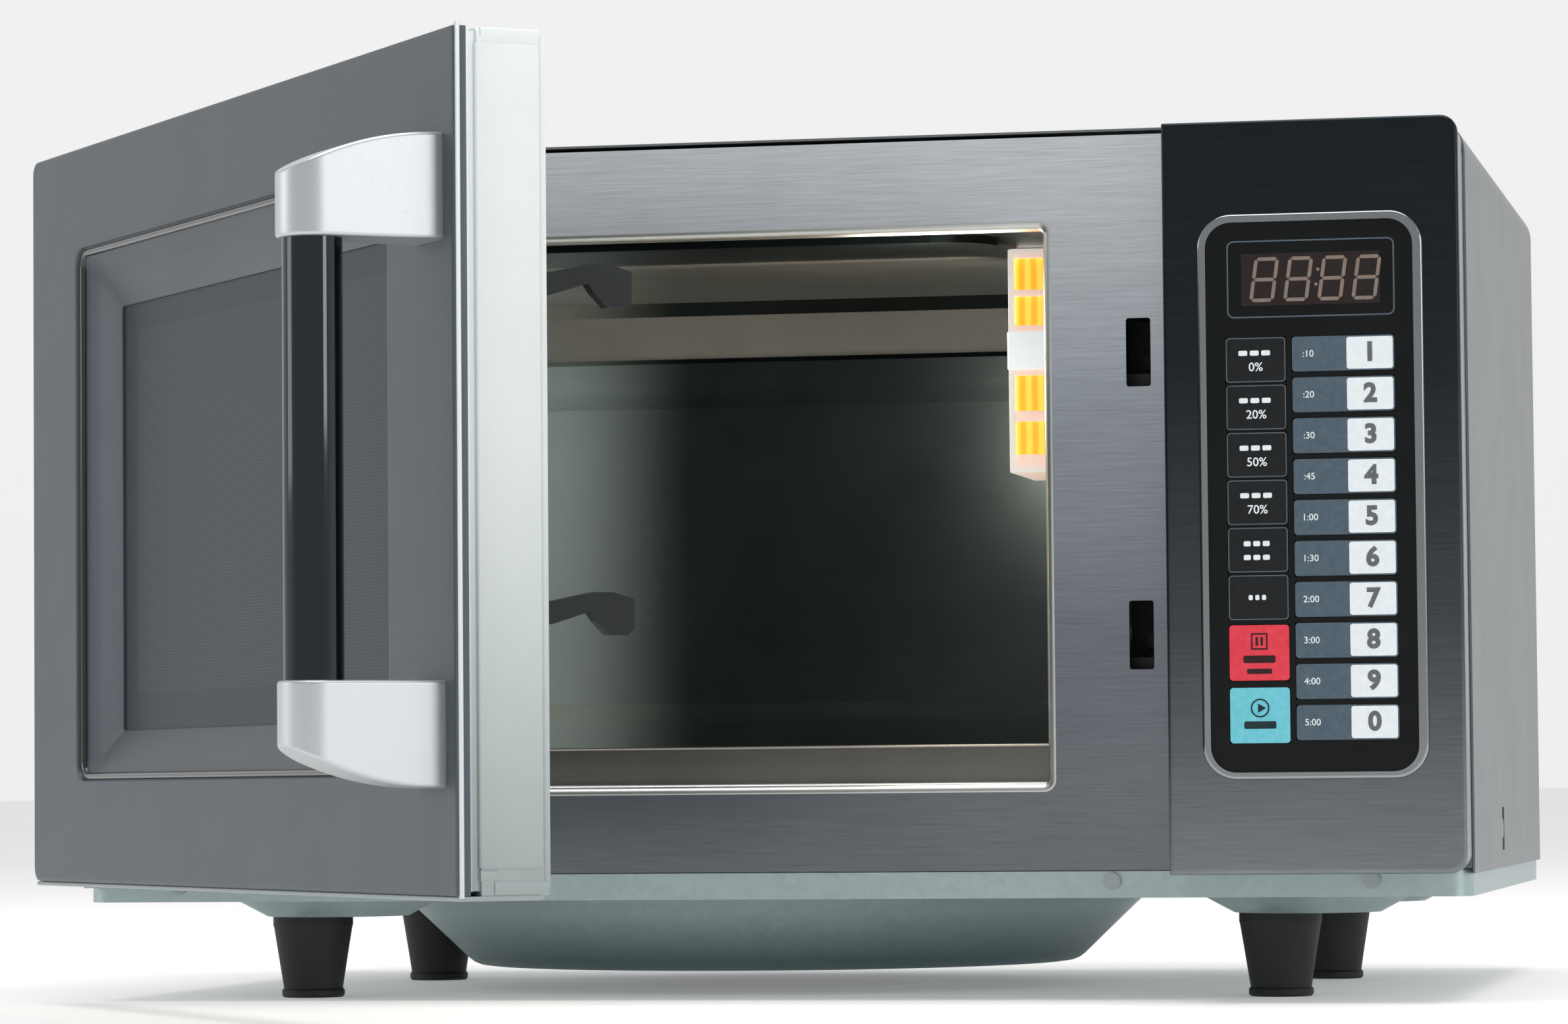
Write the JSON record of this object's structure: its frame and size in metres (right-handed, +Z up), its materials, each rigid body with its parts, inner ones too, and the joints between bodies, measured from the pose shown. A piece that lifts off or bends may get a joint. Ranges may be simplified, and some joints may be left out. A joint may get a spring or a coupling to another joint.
{
  "type": "microwave oven",
  "caption": "Countertop commercial microwave oven with a side-hinged door left ajar, tube handle, twin latch hooks and a membrane keypad panel.",
  "frame": {"origin": "on the surface the four feet stand on, midway between the feet", "axes": "+Z up, -Y towards the front with the door and the control panel, +X to the right as seen from the front"},
  "size_m": [0.523, 0.7125, 0.311],
  "materials": {
    "case_paint": "satin",
    "brushed_stainless": "brushed",
    "galvanised": "satin",
    "rubber": "matte",
    "glass_ceramic": "satin",
    "white_plastic": "matte",
    "lamp_glass": "gloss",
    "aluminium": "satin",
    "steel_dark": "satin",
    "black_plastic": "matte",
    "grey_plastic": "satin",
    "green_board": "satin",
    "chrome": "polished",
    "door_paint": "satin",
    "light_plastic": "satin",
    "smoked_glass": "gloss",
    "satin_metal": "satin",
    "key_black": "satin",
    "key_red": "satin",
    "key_blue": "satin",
    "key_slate": "satin"
  },
  "bodies": {
    "cabinet": {"antenna_motor": "steel_dark", "antenna_well": "brushed_stainless", "base_pan": "galvanised", "capacitor": "aluminium", "case": "case_paint", "case_screws": "steel_dark", "cavity_liner": "brushed_stainless", "control_board": "green_board", "cord_gland": "black_plastic", "display": "black_plastic", "fan_frame": "galvanised", "feet": "rubber", "front_plate": "brushed_stainless", "hinge_plates": "galvanised", "keypad": "black_plastic", "keypad_bezel": "chrome", "lamp": "lamp_glass", "lamp_cover": "white_plastic", "latch_bracket": "galvanised", "magnetron": "aluminium", "motor_cover": "steel_dark", "panel_housing": "grey_plastic", "panel_skin": "brushed_stainless", "rear_panel": "case_paint", "rear_standoffs": "black_plastic", "shelf": "glass_ceramic", "transformer": "steel_dark", "waveguide": "galvanised"},
    "door": {"door_skin": "door_paint", "door_frame": "light_plastic", "choke_cover": "light_plastic", "window_film": "smoked_glass", "window_screen": "brushed_stainless", "window_inner": "smoked_glass", "handle_tube": "chrome", "bracket_upper": "satin_metal", "bracket_lower": "satin_metal"},
    "hooks": {"latch_hooks": "black_plastic"},
    "antenna_rotor": {"antenna": "aluminium"},
    "cooling_fan": {"fan_blade": "black_plastic"},
    "switch_upper": {"switch_plunger_upper": "white_plastic"},
    "switch_lower": {"switch_plunger_lower": "white_plastic"},
    "key_program_1_cap": {"key_program_1": "key_black"},
    "key_program_2_cap": {"key_program_2": "key_black"},
    "key_program_3_cap": {"key_program_3": "key_black"},
    "key_program_4_cap": {"key_program_4": "key_black"},
    "key_program_5_cap": {"key_program_5": "key_black"},
    "key_program_6_cap": {"key_program_6": "key_black"},
    "key_stop_cap": {"key_stop": "key_red"},
    "key_start_cap": {"key_start": "key_blue"},
    "key_number_1_cap": {"key_number_1": "key_slate"},
    "key_number_2_cap": {"key_number_2": "key_slate"},
    "key_number_3_cap": {"key_number_3": "key_slate"},
    "key_number_4_cap": {"key_number_4": "key_slate"},
    "key_number_5_cap": {"key_number_5": "key_slate"},
    "key_number_6_cap": {"key_number_6": "key_slate"},
    "key_number_7_cap": {"key_number_7": "key_slate"},
    "key_number_8_cap": {"key_number_8": "key_slate"},
    "key_number_9_cap": {"key_number_9": "key_slate"},
    "key_number_0_cap": {"key_number_0": "key_slate"}
  },
  "joints": [
    {"name": "door_hinge", "type": "hinge", "parent": "cabinet", "child": "door", "pos_m": [-0.25025, -0.1513, 0.18], "axis": [0, 0, -1], "range_deg": [-52.77, 57]},
    {"name": "hook_slide", "type": "slide", "parent": "door", "child": "hooks", "axis": [0, 0, 1], "range_m": [0, 0.004], "stiffness_N_per_m": 250, "springref_m": -0.006},
    {"name": "antenna_spin", "type": "hinge", "parent": "cabinet", "child": "antenna_rotor", "pos_m": [-0.032, 0.0455, 0.066], "axis": [0, 0, 1], "continuous": true},
    {"name": "cooling_fan_spin", "type": "hinge", "parent": "cabinet", "child": "cooling_fan", "pos_m": [0.18, 0.166, 0.2], "axis": [0, 1, 0], "continuous": true},
    {"name": "interlock_upper", "type": "slide", "parent": "cabinet", "child": "switch_upper", "axis": [0, 1, 0], "range_m": [0, 0.0015], "stiffness_N_per_m": 600, "springref_m": -0.002},
    {"name": "interlock_lower", "type": "slide", "parent": "cabinet", "child": "switch_lower", "axis": [0, 1, 0], "range_m": [0, 0.0015], "stiffness_N_per_m": 600, "springref_m": -0.002},
    {"name": "key_program_1_press", "type": "slide", "parent": "cabinet", "child": "key_program_1_cap", "axis": [0, 1, 0], "range_m": [0, 0.0006], "stiffness_N_per_m": 1500, "springref_m": -0.0006},
    {"name": "key_program_2_press", "type": "slide", "parent": "cabinet", "child": "key_program_2_cap", "axis": [0, 1, 0], "range_m": [0, 0.0006], "stiffness_N_per_m": 1500, "springref_m": -0.0006},
    {"name": "key_program_3_press", "type": "slide", "parent": "cabinet", "child": "key_program_3_cap", "axis": [0, 1, 0], "range_m": [0, 0.0006], "stiffness_N_per_m": 1500, "springref_m": -0.0006},
    {"name": "key_program_4_press", "type": "slide", "parent": "cabinet", "child": "key_program_4_cap", "axis": [0, 1, 0], "range_m": [0, 0.0006], "stiffness_N_per_m": 1500, "springref_m": -0.0006},
    {"name": "key_program_5_press", "type": "slide", "parent": "cabinet", "child": "key_program_5_cap", "axis": [0, 1, 0], "range_m": [0, 0.0006], "stiffness_N_per_m": 1500, "springref_m": -0.0006},
    {"name": "key_program_6_press", "type": "slide", "parent": "cabinet", "child": "key_program_6_cap", "axis": [0, 1, 0], "range_m": [0, 0.0006], "stiffness_N_per_m": 1500, "springref_m": -0.0006},
    {"name": "key_stop_press", "type": "slide", "parent": "cabinet", "child": "key_stop_cap", "axis": [0, 1, 0], "range_m": [0, 0.0006], "stiffness_N_per_m": 1500, "springref_m": -0.0006},
    {"name": "key_start_press", "type": "slide", "parent": "cabinet", "child": "key_start_cap", "axis": [0, 1, 0], "range_m": [0, 0.0006], "stiffness_N_per_m": 1500, "springref_m": -0.0006},
    {"name": "key_number_1_press", "type": "slide", "parent": "cabinet", "child": "key_number_1_cap", "axis": [0, 1, 0], "range_m": [0, 0.0006], "stiffness_N_per_m": 1500, "springref_m": -0.0006},
    {"name": "key_number_2_press", "type": "slide", "parent": "cabinet", "child": "key_number_2_cap", "axis": [0, 1, 0], "range_m": [0, 0.0006], "stiffness_N_per_m": 1500, "springref_m": -0.0006},
    {"name": "key_number_3_press", "type": "slide", "parent": "cabinet", "child": "key_number_3_cap", "axis": [0, 1, 0], "range_m": [0, 0.0006], "stiffness_N_per_m": 1500, "springref_m": -0.0006},
    {"name": "key_number_4_press", "type": "slide", "parent": "cabinet", "child": "key_number_4_cap", "axis": [0, 1, 0], "range_m": [0, 0.0006], "stiffness_N_per_m": 1500, "springref_m": -0.0006},
    {"name": "key_number_5_press", "type": "slide", "parent": "cabinet", "child": "key_number_5_cap", "axis": [0, 1, 0], "range_m": [0, 0.0006], "stiffness_N_per_m": 1500, "springref_m": -0.0006},
    {"name": "key_number_6_press", "type": "slide", "parent": "cabinet", "child": "key_number_6_cap", "axis": [0, 1, 0], "range_m": [0, 0.0006], "stiffness_N_per_m": 1500, "springref_m": -0.0006},
    {"name": "key_number_7_press", "type": "slide", "parent": "cabinet", "child": "key_number_7_cap", "axis": [0, 1, 0], "range_m": [0, 0.0006], "stiffness_N_per_m": 1500, "springref_m": -0.0006},
    {"name": "key_number_8_press", "type": "slide", "parent": "cabinet", "child": "key_number_8_cap", "axis": [0, 1, 0], "range_m": [0, 0.0006], "stiffness_N_per_m": 1500, "springref_m": -0.0006},
    {"name": "key_number_9_press", "type": "slide", "parent": "cabinet", "child": "key_number_9_cap", "axis": [0, 1, 0], "range_m": [0, 0.0006], "stiffness_N_per_m": 1500, "springref_m": -0.0006},
    {"name": "key_number_0_press", "type": "slide", "parent": "cabinet", "child": "key_number_0_cap", "axis": [0, 1, 0], "range_m": [0, 0.0006], "stiffness_N_per_m": 1500, "springref_m": -0.0006}
  ]
}
